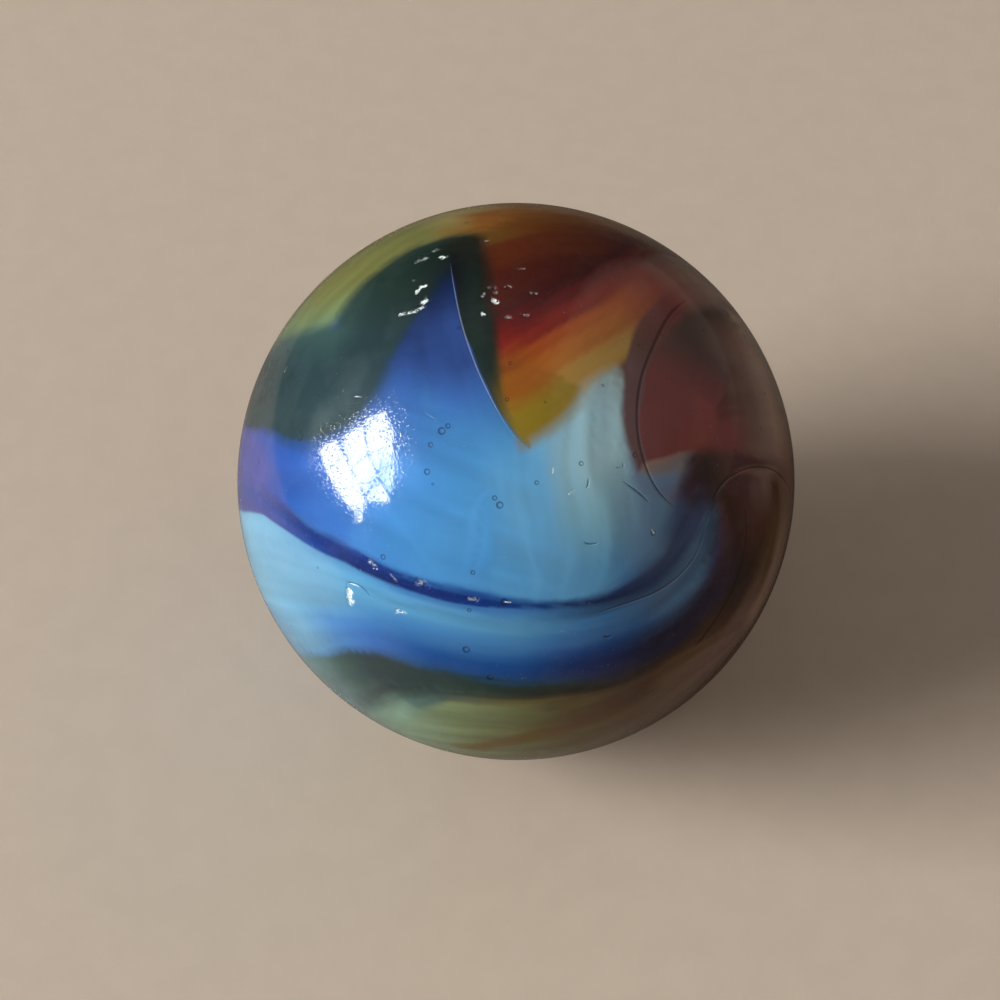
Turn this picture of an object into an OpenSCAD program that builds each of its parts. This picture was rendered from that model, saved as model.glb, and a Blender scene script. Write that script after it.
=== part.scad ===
// A glass marble: one solid ball of swirled glass, folded and sheared off
// while it was soft. The folds left fine creases in its skin, the shears
// left a seam on the far side, and play has chipped it.
// Millimetres, +Z up, with the origin at the ball's centre. The face of the
// swirl looks towards -Y and up.

/* [Ball] */
// Diameter of the ball
ball_d = 16; // [12:0.5:35]
// Lean of the swirl's face, up from level, in degrees
face_lean = 50; // [0:1:90]

/* [Fold creases] */
// Depth of a crease where the soft glass was folded
crease_depth = 0.08; // [0.03:0.01:0.2]
// Width of a crease at the skin
crease_w = 0.2; // [0.1:0.02:0.5]
// Length over which a crease or seam fades out at its ends
fade = 1.1; // [0.3:0.1:2]

/* [Cut-off seam] */
// Depth of the seam where the glass was sheared off
seam_depth = 0.1; // [0.03:0.01:0.2]
// Width of the seam at the skin
seam_w = 0.28; // [0.1:0.02:0.6]

/* [Chips] */
// Width of the largest chip
large_chip_w = 0.9; // [0.6:0.1:1.4]
// Width of the middling chips
medium_chip_w = 0.5; // [0.3:0.05:0.8]
// Width of the small chips
small_chip_w = 0.34; // [0.2:0.02:0.5]
// Depth of a chip, against its width
chip_depth = 0.12; // [0.08:0.01:0.3]

/* [Hidden] */

$fn = 96;
ball_r = ball_d / 2;
// A groove's sections stand at most this many degrees apart round the ball
section_step = 2.5;
// Past its fade a groove's bottom clears the skin by this share of its depth
end_clearance = 0.25;

// Each groove starts at a place on the ball, given by its tilt from the
// middle of the face and its bearing round it, and sets off at a heading.
// Then come its arcs, as [length, bend], left bends being positive. All are
// degrees, lengths too, so the grooves keep their place on a ball of any size.
crown_fold = [50, 106, -80, [[13.5, 2], [13.5, 16], [13.5, -4]]];
hood_fold = [58, 47, -145, [[12, 22], [11.5, 8], [11.5, 26], [10, 28], [10, 41]]];
arch_fold = [40.5, -6.5, 67, [[8, -46], [9.5, -22], [9.5, -14], [10.5, -16]]];
inner_curl = [39.5, -11.5, -89, [[10, -44], [9.5, -26], [10.5, 2]]];
outer_curl = [49.5, -4.5, -58, [[10.5, -33], [11.5, -17], [11.5, -9]]];
curl_tail = [20, 1, -30, [[3, -3], [4.5, -12]]];
cut_off_seam = [170, 205, 25, [[10, 30], [13, -28], [9, 24]]];

// Each chip as [tilt, bearing]
large_chip = [41, 120];
medium_chips = [[45.5, 116.5], [36.7, 97], [42.2, 215]];
small_chips = [[52.5, 112], [52.5, 108.5], [49, 117], [34, 102], [34.3, 229], [43.5, 126]];

function unit(v) = v / norm(v);

// A direction v turned by an angle about an axis
function turned(v, axis, angle) =
    v * cos(angle) + cross(axis, v) * sin(angle) + axis * (axis * v) * (1 - cos(angle));

// A pen that draws on the ball is its place, its heading, both as unit
// vectors, and the degrees it has run
function pen_at_start(path) =
    let (axis = [-sin(path[1]), cos(path[1]), 0],
         heading = [cos(path[2]), sin(path[2]), 0])
    [turned([0, 0, 1], axis, path[0]), turned(heading, axis, path[0]), 0];

// The pen after a share of an arc, which runs on a circle round the ball
// whose lean gives the arc its bend
function pen_along(pen, arc, share) =
    let (lean = atan(arc[1] / arc[0]),
         left = cross(pen[0], pen[1]),
         axis = unit(pen[0] * sin(lean) + left * cos(lean)),
         angle = share * arc[0] / cos(lean))
    [turned(pen[0], axis, angle), turned(pen[1], axis, angle), pen[2] + share * arc[0]];

// The pen at every section of a groove
function pens(pen, arcs, i = 0) =
    i == len(arcs) ? [pen] :
    let (steps = ceil(arcs[i][0] / section_step))
    concat([for (k = [0 : steps - 1]) pen_along(pen, arcs[i], k / steps)],
           pens(pen_along(pen, arcs[i], 1), arcs, i + 1));

// Depth of a groove's bottom: full along the middle, and out of the skin
// where the run from the nearer end is nothing
function bottom_depth(run, whole_run, depth) =
    let (fade_run = min(fade / ball_r * 180 / PI, whole_run / 2),
         short_of_full = max(0, 1 - min(run, whole_run - run) / fade_run))
    depth * (1 - (1 + end_clearance) * short_of_full * short_of_full);

// A groove: a cleft swept along its path, with its bottom below the skin and
// its mouth as far above
module groove(path, depth, width) {
    stations = pens(pen_at_start(path), path[3]);
    last = len(stations) - 1;
    points = [
        for (pen = stations)
            let (bottom = bottom_depth(pen[2], stations[last][2], depth),
                 mouth_half_w = width / 2 * (bottom + depth) / depth,
                 left = cross(pen[0], pen[1]))
            each [
                pen[0] * (ball_r - bottom),
                pen[0] * (ball_r + depth) - left * mouth_half_w,
                pen[0] * (ball_r + depth) + left * mouth_half_w
            ]
    ];
    ends = [[2, 1, 0], [3 * last, 3 * last + 1, 3 * last + 2]];
    sides = [
        for (i = [0 : last - 1], side = [0 : 2])
            let (a = 3 * i + side,
                 b = 3 * i + (side + 1) % 3)
            each [[a, b, a + 3], [b, b + 3, a + 3]]
    ];
    polyhedron(points, concat(ends, sides));
}

// A chip: a shallow dish that a ball of its own scoops out of the skin
module chip(place, width) {
    depth = chip_depth * width;
    skin_rise = ball_r - sqrt(ball_r * ball_r - width * width / 4);
    dish = depth - skin_rise;
    scoop_r = (width * width / 4 + dish * dish) / (2 * dish);
    rotate([0, 0, place[1]])
        rotate([0, place[0], 0])
            translate([0, 0, ball_r + scoop_r - depth])
                sphere(r = scoop_r);
}

module marble() {
    color("cornflowerblue")
        difference() {
            sphere(d = ball_d);
            rotate([90 - face_lean, 0, 0]) {
                for (fold = [crown_fold, hood_fold, arch_fold, inner_curl, outer_curl, curl_tail])
                    groove(fold, crease_depth, crease_w);
                groove(cut_off_seam, seam_depth, seam_w);
                chip(large_chip, large_chip_w);
                for (place = medium_chips)
                    chip(place, medium_chip_w);
                for (place = small_chips)
                    chip(place, small_chip_w);
            }
        }
}

marble();
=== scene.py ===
from math import atan, ceil, cos, pi, radians, sin

import bmesh
import bpy
import numpy as np
from mathutils import Matrix, Vector
from mathutils.kdtree import KDTree


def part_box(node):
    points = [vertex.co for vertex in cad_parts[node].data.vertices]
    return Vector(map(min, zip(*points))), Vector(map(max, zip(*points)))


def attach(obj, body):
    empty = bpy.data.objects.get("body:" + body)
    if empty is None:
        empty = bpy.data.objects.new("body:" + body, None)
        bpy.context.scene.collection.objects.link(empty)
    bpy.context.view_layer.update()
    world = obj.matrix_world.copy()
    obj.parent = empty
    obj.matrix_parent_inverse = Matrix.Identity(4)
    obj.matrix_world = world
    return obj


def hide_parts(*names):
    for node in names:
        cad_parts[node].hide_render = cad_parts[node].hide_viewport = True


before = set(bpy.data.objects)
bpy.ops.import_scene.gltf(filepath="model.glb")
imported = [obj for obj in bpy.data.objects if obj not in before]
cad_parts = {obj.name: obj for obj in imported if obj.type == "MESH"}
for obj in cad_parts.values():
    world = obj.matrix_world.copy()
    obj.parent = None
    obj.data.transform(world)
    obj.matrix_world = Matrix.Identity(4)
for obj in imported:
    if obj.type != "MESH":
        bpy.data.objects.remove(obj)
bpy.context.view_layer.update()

MM = 0.001

# ------------------------------------------------------------------ The bench
# A marble has no stand of its own and rests where it rolls to, here on a pale
# papered bench. A window of four panes lights it from its left, the wall on
# its right throws a little light back, and the room above is dim.

bench_reach = 500 * MM
bench_fade_starts = 120 * MM
bench_fade_ends = bench_reach * 0.9
bench_paper = (0.55, 0.46, 0.375, 1)
fibre_grain = 900.0
fibre_mottle = 0.97
fibre_blur = (0.3, 0.7)
paper_roughness = 0.85
paper_gloss = 0.15
# Painted shade on the bench as the marble's own gloss sees it: bright towards
# the window, dimmer on the far side and in front, and dark beyond its reach
gloss_near_window = 0.85
gloss_away = 0.20
gloss_away_from = -24 * MM
gloss_away_to = 8 * MM
gloss_front_from = -15 * MM
gloss_front_to = -26 * MM
gloss_in_front = 0.2
gloss_reach = 44 * MM
gloss_gone = gloss_reach * 1.25
gloss_beyond = 0.10
towards_wall = (0.8, 0.6, 0)
room_tone = (0.95, 0.97, 1.0, 1)
room_light_low = 0.12
room_light_high = 0.22
room_lighter_up = (0.0, 0.6)
room_behind = 0.35
room_behind_from = (0.5, 0.85)
wall_tone = (1.0, 0.84, 0.70, 1)
wall_light_low = 0.17
wall_light_high = 0.46
wall_lighter_up = (0.1, 0.75)
wall_middle = Vector((0.993, -0.069, 0.092))
wall_spread = radians(71)
wall_edge = radians(2)
window_distance = 500 * MM
window_radiance = 24.0
window_tone = (1.0, 0.99, 0.97, 1)
# Each pane as the y and z of its corners in mm, and each branch before it as
# the y and z of its bends and its thickness
window_panes = [
    [(36, 74), (34, 105), (18, 154), (-25, 161), (-102, 170), (-169, 171), (-216, 161), (-249, 97),
     (-243, 79), (-202, 94), (-148, 84), (-86, 79)],
    [(11, 187), (7, 232), (0, 280), (-75, 273), (-111, 266), (-171, 266), (-204, 261), (-206, 181),
     (-161, 179), (-89, 179), (-30, 178)],
    [(13, 302), (6, 356), (-1, 415), (-61, 429), (-112, 437), (-136, 412), (-208, 386), (-266, 346),
     (-307, 283), (-212, 279), (-171, 275), (-105, 277), (-50, 286)],
    [(-215, 254), (-238, 264), (-290, 265), (-320, 261), (-307, 238), (-240, 177), (-218, 171)],
]
window_branches = [
    ([(-97, 173), (-101, 213), (-108, 270)], 5), ([(-129, 372), (-157, 330), (-196, 275)], 5),
    ([(-225, 380), (-209, 325), (-209, 275)], 5), ([(-110, 275), (-118, 310), (-135, 330)], 4),
    ([(-221, 173), (-225, 140), (-218, 90)], 5), ([(-160, 176), (-192, 220), (-205, 270)], 5),
    ([(-190, 285), (-205, 270), (-220, 262)], 14), ([(-20, 85), (-40, 110), (-38, 140)], 4),
]
# The crown of the tree as the y and z of its middle and its spread, in mm
crown_middle = (-225, 290)
crown_spread = 110
crown_thick = 0.3
crown_light = 0.75
leaf_grain = 22.0
leaf_blur = (0.38, 0.56)
leaf_tone = (0.75, 0.95, 1.0, 1)
branch_tone = (0.75, 0.9, 1.0, 1)
branch_light = 0.15
branch_gap = 3 * MM

low_corner, high_corner = (Vector(corner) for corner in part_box("marble"))
ball_radius = (high_corner.z - low_corner.z) / 2
ball_centre = (low_corner + high_corner) / 2
scene = bpy.context.scene


def put(tree, kind, feeds=None, **settings):
    """Adds a node with its settings, and feeds its inputs by name or number."""
    node = tree.nodes.new(kind)
    for name, value in settings.items():
        setattr(node, name, value)
    for key, feed in (feeds or {}).items():
        if isinstance(feed, bpy.types.NodeSocket):
            tree.links.new(feed, node.inputs[key])
        else:
            node.inputs[key].default_value = feed
    return node


def reckon(tree, operation, *terms, clamp=False):
    """The answer of one Math node."""
    feeds = dict(enumerate(terms))
    return put(tree, "ShaderNodeMath", feeds, operation=operation, use_clamp=clamp).outputs[0]


def times(tree, product, *others):
    """The product of several numbers."""
    for other in others:
        product = reckon(tree, "MULTIPLY", product, other)
    return product


def measured(tree, operation, *terms):
    """The number that one Vector Math node gives."""
    feeds = dict(enumerate(terms))
    return put(tree, "ShaderNodeVectorMath", feeds, operation=operation).outputs["Value"]


def between(tree, value, start, end):
    """How far a value has gone from start to end, smoothly, from 0 to 1."""
    feeds = {"Value": value, "From Min": start, "From Max": end}
    ramp = put(tree, "ShaderNodeMapRange", feeds, interpolation_type="SMOOTHSTEP")
    return ramp.outputs["Result"]


def noise(tree, spot, grain, detail=1.0):
    """Soft noise from 0 to 1."""
    feeds = {"Vector": spot, "Scale": grain, "Detail": detail}
    return put(tree, "ShaderNodeTexNoise", feeds).outputs["Fac"]


def blended(tree, share, under, over):
    """A number between two others by a share."""
    return put(tree, "ShaderNodeMix", {0: share, 2: under, 3: over}).outputs[0]


def tinted(tree, share, under, over, blend_type="MIX"):
    """One colour laid over another by a share."""
    feeds = {0: share, 6: under, 7: over}
    mix = put(tree, "ShaderNodeMix", feeds, data_type="RGBA", blend_type=blend_type)
    return mix.outputs[2]


def blank_material(name):
    """A new material without nodes, and its tree."""
    material = bpy.data.materials.new(name)
    material.use_nodes = True
    material.node_tree.nodes.clear()
    return material, material.node_tree


def dimmed(tree, colour, light):
    """A colour in less light."""
    shade = put(tree, "ShaderNodeCombineXYZ", {0: light, 1: light, 2: light}).outputs[0]
    return tinted(tree, 1.0, colour, shade, "MULTIPLY")


def glowing(material, tree, tone, light):
    """Makes a material a plain glow that lights nothing else."""
    glow = put(tree, "ShaderNodeEmission", {"Color": tone, "Strength": light})
    put(tree, "ShaderNodeOutputMaterial", {"Surface": glow.outputs[0]})
    material.cycles.emission_sampling = "NONE"
    return material


def bench_finish():
    """Matt pale paper that fades into the backdrop far from the marble."""
    material, tree = blank_material("pale_paper")
    spot = put(tree, "ShaderNodeTexCoord").outputs["Object"]
    reach = measured(tree, "LENGTH", spot)
    mottle = between(tree, noise(tree, spot, fibre_grain, 4.0), *fibre_blur)
    tone = tinted(tree, mottle, tuple(c * fibre_mottle for c in bench_paper[:3]) + (1,), bench_paper)
    # Painted shade: the bench is dimmed only where the marble's gloss sees it
    away = between(tree, measured(tree, "DOT_PRODUCT", spot, towards_wall), gloss_away_from, gloss_away_to)
    in_gloss = blended(tree, away, gloss_near_window, gloss_away)
    depth = put(tree, "ShaderNodeSeparateXYZ", {0: spot}).outputs[1]
    in_front = between(tree, depth, gloss_front_from, gloss_front_to)
    in_gloss = times(tree, in_gloss, blended(tree, in_front, 1.0, gloss_in_front))
    beyond = between(tree, reach, gloss_reach, gloss_gone)
    in_gloss = blended(tree, beyond, in_gloss, gloss_beyond)
    glossy = put(tree, "ShaderNodeLightPath").outputs["Is Glossy Ray"]
    tone = tinted(tree, glossy, tone, dimmed(tree, tone, in_gloss))
    paper = put(tree, "ShaderNodeBsdfPrincipled",
                {"Base Color": tone, "Roughness": paper_roughness, "Specular IOR Level": paper_gloss})
    gone = between(tree, reach, bench_fade_starts, bench_fade_ends)
    clear = put(tree, "ShaderNodeBsdfTransparent")
    mix = put(tree, "ShaderNodeMixShader", {0: gone, 1: paper.outputs[0], 2: clear.outputs[0]})
    put(tree, "ShaderNodeOutputMaterial", {"Surface": mix.outputs[0]})
    return material


bench_form = bmesh.new()
bmesh.ops.create_circle(bench_form, cap_ends=True, segments=96, radius=bench_reach)
bench_mesh = bpy.data.meshes.new("bench")
bench_form.to_mesh(bench_mesh)
bench_form.free()
bench_mesh.materials.append(bench_finish())
bench = bpy.data.objects.new("bench", bench_mesh)
bench.location.z = low_corner.z
scene.collection.objects.link(bench)


def window_finish():
    """What the window shows in the gloss: bright sky, dimmed behind the crown of a tree."""
    material, tree = blank_material("window_sky")
    spot = put(tree, "ShaderNodeTexCoord").outputs["Object"]
    middle = (-window_distance, crown_middle[0] * MM, crown_middle[1] * MM)
    gap = measured(tree, "DISTANCE", spot, middle)
    crown = times(tree, between(tree, gap, crown_spread * MM, crown_thick * crown_spread * MM),
                  between(tree, noise(tree, spot, leaf_grain, 4.0), *leaf_blur))
    light = blended(tree, crown, window_radiance, crown_light * window_radiance)
    return glowing(material, tree, tinted(tree, crown, window_tone, leaf_tone), light)


def branch_finish():
    """Bare branches against the sky."""
    material, tree = blank_material("branches")
    return glowing(material, tree, branch_tone, branch_light * window_radiance)


def pane_area(corners):
    """The area of a pane, by the shoelace rule."""
    turned = corners[1:] + corners[:1]
    return abs(sum(y * next_z - next_y * z for (y, z), (next_y, next_z) in zip(corners, turned))) / 2


window_form = bmesh.new()
for number, corners in enumerate(window_panes, 1):
    across, heights = zip(*corners)
    pane = bpy.data.lights.new(f"window_pane_{number}", "AREA")
    pane.shape = "RECTANGLE"
    pane.size = (max(across) - min(across)) * MM
    pane.size_y = (max(heights) - min(heights)) * MM
    pane.energy = pi * pane_area(corners) * MM * MM * window_radiance
    pane.color = window_tone[:3]
    pane_lamp = bpy.data.objects.new(pane.name, pane)
    pane_lamp.location = (-window_distance, (min(across) + max(across)) / 2 * MM,
                          (min(heights) + max(heights)) / 2 * MM)
    pane_lamp.rotation_euler = Vector((1, 0, 0)).to_track_quat("-Z", "Y").to_euler()
    pane_lamp.visible_camera = False
    pane_lamp.visible_glossy = False
    scene.collection.objects.link(pane_lamp)
    window_form.faces.new([window_form.verts.new((-window_distance, y * MM, z * MM)) for y, z in corners])
for bends, thickness in window_branches:
    for (y, z), (next_y, next_z) in zip(bends, bends[1:]):
        aside = Vector((z - next_z, next_y - y)).normalized() * thickness / 2
        strip = [(y + aside.x, z + aside.y), (next_y + aside.x, next_z + aside.y),
                 (next_y - aside.x, next_z - aside.y), (y - aside.x, z - aside.y)]
        corners = [window_form.verts.new((branch_gap - window_distance, y * MM, z * MM)) for y, z in strip]
        twig = window_form.faces.new(corners)
        twig.material_index = 1
window_mesh = bpy.data.meshes.new("window_panes")
window_form.to_mesh(window_mesh)
window_form.free()
window_mesh.materials.append(window_finish())
window_mesh.materials.append(branch_finish())
window = bpy.data.objects.new("window_panes", window_mesh)
window.visible_camera = False
window.visible_diffuse = False
window.visible_shadow = False
scene.collection.objects.link(window)

# The room: dim all round, lighter where the wall is, and to the eye a plain
# backdrop of the bench's own tone
room = bpy.data.worlds.new("room")
room.use_nodes = True
room_tree = room.node_tree
room_tree.nodes.clear()
looking = put(room_tree, "ShaderNodeTexCoord").outputs["Generated"]
facing_wall = measured(room_tree, "DOT_PRODUCT", looking, wall_middle.normalized())
wall_share = between(room_tree, facing_wall, cos(wall_spread + wall_edge), cos(wall_spread - wall_edge))
_, depth, height = put(room_tree, "ShaderNodeSeparateXYZ", {0: looking}).outputs
room_glow = blended(room_tree, between(room_tree, height, *room_lighter_up),
                    room_light_low, room_light_high)
behind = blended(room_tree, between(room_tree, depth, *room_behind_from), 1.0, room_behind)
room_glow = times(room_tree, room_glow, behind)
wall_glow = blended(room_tree, between(room_tree, height, *wall_lighter_up),
                    wall_light_low, wall_light_high)
glow = blended(room_tree, wall_share, room_glow, wall_glow)
glow_tone = tinted(room_tree, wall_share, room_tone, wall_tone)
dim_room = put(room_tree, "ShaderNodeBackground", {"Color": glow_tone, "Strength": glow})
backdrop = put(room_tree, "ShaderNodeBackground", {"Color": bench_paper})
seen = put(room_tree, "ShaderNodeLightPath").outputs["Is Camera Ray"]
room_mix = put(room_tree, "ShaderNodeMixShader", {0: seen, 1: dim_room.outputs[0], 2: backdrop.outputs[0]})
put(room_tree, "ShaderNodeOutputWorld", {"Surface": room_mix.outputs[0]})
scene.world = room

view_elevation = radians(50)
view_distance = 70 * MM
lens_mm = 87.19
aim_right_of_centre = -0.454 * MM
aim_above_centre = -0.532 * MM
view_back = Vector((0, -cos(view_elevation), sin(view_elevation)))
view_up = Vector((0, sin(view_elevation), cos(view_elevation)))
camera_data = bpy.data.cameras.new("camera")
camera_data.lens = lens_mm
camera_data.clip_start = 1 * MM
camera_data.clip_end = 2.0
camera = bpy.data.objects.new("camera", camera_data)
camera.location = ball_centre + view_back * view_distance
aim = ball_centre + Vector((aim_right_of_centre, 0, 0)) + view_up * aim_above_centre
camera.rotation_euler = (aim - camera.location).to_track_quat("-Z", "Y").to_euler()
scene.collection.objects.link(camera)
scene.camera = camera
scene.view_settings.view_transform = "Standard"

# ------------------------------------------------- Marks in the marble's skin
# The marble is one ball of glass, folded on itself while soft. Folding left
# fine creases and the shears a seam, gas left seeds, and play has bruised,
# chipped and scratched it. Places are degrees of tilt from the middle of the
# swirl's face and of bearing round it, and sizes are real ones.

face_lean = radians(50)
face_turn = Matrix.Rotation(pi / 2 - face_lean, 3, "X")
mark_step = 0.02 * MM
faintest_mark = 0.02
width_at_end = 0.25
fold_fade = 1.1 * MM
crack_fade = 10 * MM
# Each as its path, width and depth in mm. A path starts at a tilt and bearing,
# sets off at a heading, and runs in arcs of a length and a bend in degrees,
# left bends being positive
folds = [
    ([58, 47, -145, [[12, 22], [11.5, 8], [11.5, 26], [10, 28], [10, 41]]], 0.12, 0.03),
    ([40.5, -6.5, 67, [[8, -46], [9.5, -22], [9.5, -14], [10.5, -16]]], 0.13, 0.035),
    ([39.5, -11.5, -89, [[10, -44], [9.5, -26], [10.5, 2]]], 0.11, 0.03),
    ([49.5, -4.5, -58, [[10.5, -33], [11.5, -17], [11.5, -9]]], 0.11, 0.03),
    ([20, 1, -30, [[3, -3], [4.5, -12]]], 0.12, 0.03),
    ([170, 205, 25, [[10, 30], [13, -28], [9, 24]]], 0.22, 0.07),
]
cracks = [
    ([40.7, 211, 7, [[3.3, -28], [3.0, -45]]], 0.085, 0.03),
    ([16.8, 319, -42, [[1.2, 30], [2.1, 42]]], 0.075, 0.03),
    ([35.5, 300, -40, [[2.2, 75]]], 0.12, 0.04),
    ([13.5, 4, -87, [[1.4, -10], [1.0, -75]]], 0.06, 0.02),
    ([20.4, 8, -173, [[1.6, -12]]], 0.05, 0.015),
    ([20.6, 11, -91, [[1.3, 10]]], 0.05, 0.015),
]
# The first runs along the crown crease: its groove is real and its pale line is a painted highlight. The
# others are pale scratches
scratches_and_crown_crease = [
    ([50.3, 107, -79, [[13.5, 2.2], [13.5, 8.3], [11, 8], [8, 18]]], 0.07, 0.014),
    ([37.2, 153, -6, [[2.6, -3]]], 0.05, 0.01),
    ([22.4, 143, -39, [[3.9, 12]]], 0.04, 0.006),
    ([17, 151, -17, [[6.6, -8]]], 0.03, 0.005),
]

# Chips, and the fainter bruises, each as the places it runs through and its
# width in mm
chips = [
    ([(42.2, 125), (41.3, 123), (40.7, 121), (40.8, 118.5)], 0.17), ([(41.7, 118), (42, 117)], 0.27),
    ([(45.3, 118), (46, 116.3), (45.8, 115.4)], 0.19), ([(52.7, 108.8), (52.4, 108.2)], 0.24),
    ([(36.8, 97.3), (36.3, 96.6)], 0.24), ([(34.2, 101.8), (33.8, 101.3)], 0.15),
    ([(41.2, 213.6), (41.9, 214.8), (42.6, 216.4)], 0.3), ([(35, 228), (34.5, 229.4)], 0.2),
    ([(61, 155), (61, 154)], 0.1), ([(7, 14), (7.3, 20)], 0.09), ([(10, 347), (10.7, 352)], 0.09),
    ([(28, 341), (28.6, 340)], 0.08), ([(23, 265), (23, 268)], 0.08),
]
bruises = [
    ([(54.6, 114.4), (54.4, 112.4)], 0.3), ([(49.2, 117.8), (48.8, 117.2)], 0.16),
    ([(56, 110), (56, 109)], 0.2), ([(40.3, 98.3), (40, 96.8), (38.6, 96.5)], 0.2),
    ([(40, 93.6), (40, 92.2)], 0.16), ([(45, 90.5), (45, 88.2)], 0.14),
    ([(32.6, 93.4), (32.4, 92.4)], 0.24), ([(33, 88), (33, 86.6)], 0.2),
    ([(38.5, 85.6), (38.5, 84.4)], 0.18), ([(55, 97.8), (55, 97)], 0.12),
    ([(27, 226.4), (26.4, 229)], 0.3), ([(33, 209), (32.4, 211)], 0.2), ([(24, 249), (23.8, 252)], 0.18),
    ([(30.5, 217), (30.4, 220)], 0.14), ([(39, 100), (38, 101)], 0.14),
]
chip_depth = 0.1
chip_points = (0, 0.25, 0.5, 0.75, 1)
# A ragged mark breaks along facets, deeper near the middle of each
facet_middle = 0.45
facet_tilt = -1.2

# Each seed as its tilt, bearing and radius in mm
seeds = [
    (16.8, 146, 0.11), (16.4, 141, 0.075), (17.4, 157, 0.075), (16.7, 174, 0.09),
    (47.3, 169, 0.10), (5.2, 236, 0.10), (4.9, 218, 0.07), (26.9, 228, 0.08),
    (23.0, 265, 0.10), (35.0, 254, 0.11), (40.6, 263, 0.10), (29.8, 210, 0.08),
    (28.5, 340, 0.08), (23.3, 13, 0.08), (12.6, 16, 0.07),
]
seed_depth = 0.12
stray_seeds = 90
stray_seed_smallest = 0.03 * MM
stray_seed_largest = 0.07 * MM
stray_seed_draw = 7


def place(tilt, bearing):
    """The outward direction of a place on the ball."""
    slope, turn = radians(tilt), radians(bearing)
    in_face = Vector((sin(slope) * cos(turn), sin(slope) * sin(turn), cos(slope)))
    return face_turn @ in_face


def pen_run(path):
    """Where a pen goes that draws a path on the ball, as directions, and its whole run."""
    tilt, bearing, heading, arcs = path
    turn = Matrix.Rotation(radians(tilt), 3, (-sin(radians(bearing)), cos(radians(bearing)), 0))
    spot = turn @ Vector((0, 0, 1))
    ahead = turn @ Vector((cos(radians(heading)), sin(radians(heading)), 0))
    spots = [spot]
    for length, bend in arcs:
        lean = atan(bend / length)
        axis = (spot * sin(lean) + spot.cross(ahead) * cos(lean)).normalized()
        sweep = radians(length) / cos(lean)
        count = max(2, ceil(radians(length) * ball_radius / mark_step))
        for i in range(1, count + 1):
            spots.append(Matrix.Rotation(sweep * i / count, 3, axis) @ spot)
        spot, ahead = spots[-1], Matrix.Rotation(sweep, 3, axis) @ ahead
    whole_run = sum(radians(length) for length, _ in arcs) * ball_radius
    return [face_turn @ spot for spot in spots], whole_run


def line_marks(lines, fade):
    """The points along folds or cracks, each with its reach and depth, fading at the ends."""
    marks = []
    for path, width, depth in lines:
        spots, whole_run = pen_run(path)
        for i, spot in enumerate(spots):
            run = whole_run * i / (len(spots) - 1)
            short = max(0, 1 - min(run, whole_run - run) / min(fade, whole_run / 2))
            strength = 1 - short * short
            if strength > faintest_mark:
                reach = width / 2 * MM * (width_at_end + (1 - width_at_end) * strength)
                marks.append((spot * ball_radius, reach, depth * MM * strength))
    return marks


def chip_marks(edges):
    """The points along chips or bruises, each with its reach and depth."""
    marks = []
    for edge, width in edges:
        for start, end in zip(edge, edge[1:]):
            for share in chip_points:
                spot = place(*start).lerp(place(*end), share).normalized() * ball_radius
                marks.append((spot, width / 2 * MM, width * chip_depth * MM))
    return marks


def marks_object(name, marks):
    """Loose points for the pressing tree, each with its reach and depth."""
    mesh = bpy.data.meshes.new(name)
    mesh.from_pydata([spot for spot, _, _ in marks], [], [])
    for attribute, column in (("reach", 1), ("depth", 2)):
        layer = mesh.attributes.new(attribute, "FLOAT", "POINT")
        layer.data.foreach_set("value", [mark[column] for mark in marks])
    loose_points = bpy.data.objects.new(name, mesh)
    scene.collection.objects.link(loose_points)
    return loose_points


def geometry_tree(name, inputs):
    """A new tree with named inputs, each of a kind and with a value, and what it is given."""
    tree = bpy.data.node_groups.new(name, "GeometryNodeTree")
    for label, kind, value in [("Geometry", "Geometry", None), *inputs, ("Glass", "Material", None)]:
        socket = tree.interface.new_socket(name=label, in_out="INPUT", socket_type="NodeSocket" + kind)
        if value is not None:
            socket.default_value = value
    tree.interface.new_socket(name="Geometry", in_out="OUTPUT", socket_type="NodeSocketGeometry")
    return tree, put(tree, "NodeGroupInput").outputs


def close_tree(tree, geometry, glass):
    """Ends a tree with real geometry of one material."""
    real = put(tree, "GeometryNodeRealizeInstances", {"Geometry": geometry})
    made = put(tree, "GeometryNodeSetMaterial", {"Geometry": real.outputs[0], "Material": glass})
    put(tree, "NodeGroupOutput", {"Geometry": made.outputs[0]})
    return tree


def noted(tree, geometry, name, value):
    """The geometry with a number noted at each of its points."""
    feeds = {"Geometry": geometry, "Name": name, "Value": value}
    note = put(tree, "GeometryNodeStoreNamedAttribute", feeds, data_type="FLOAT", domain="POINT")
    return note.outputs[0]


def sampled(tree, points, index, name):
    """The number noted at one of the points."""
    value = put(tree, "GeometryNodeInputNamedAttribute", {"Name": name}).outputs[0]
    feeds = {"Geometry": points, "Value": value, "Index": index}
    return put(tree, "GeometryNodeSampleIndex", feeds).outputs[0]


def scaled(tree, direction, by):
    """A direction made longer or shorter."""
    return put(tree, "ShaderNodeVectorMath", {0: direction, "Scale": by}, operation="SCALE").outputs[0]


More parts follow.
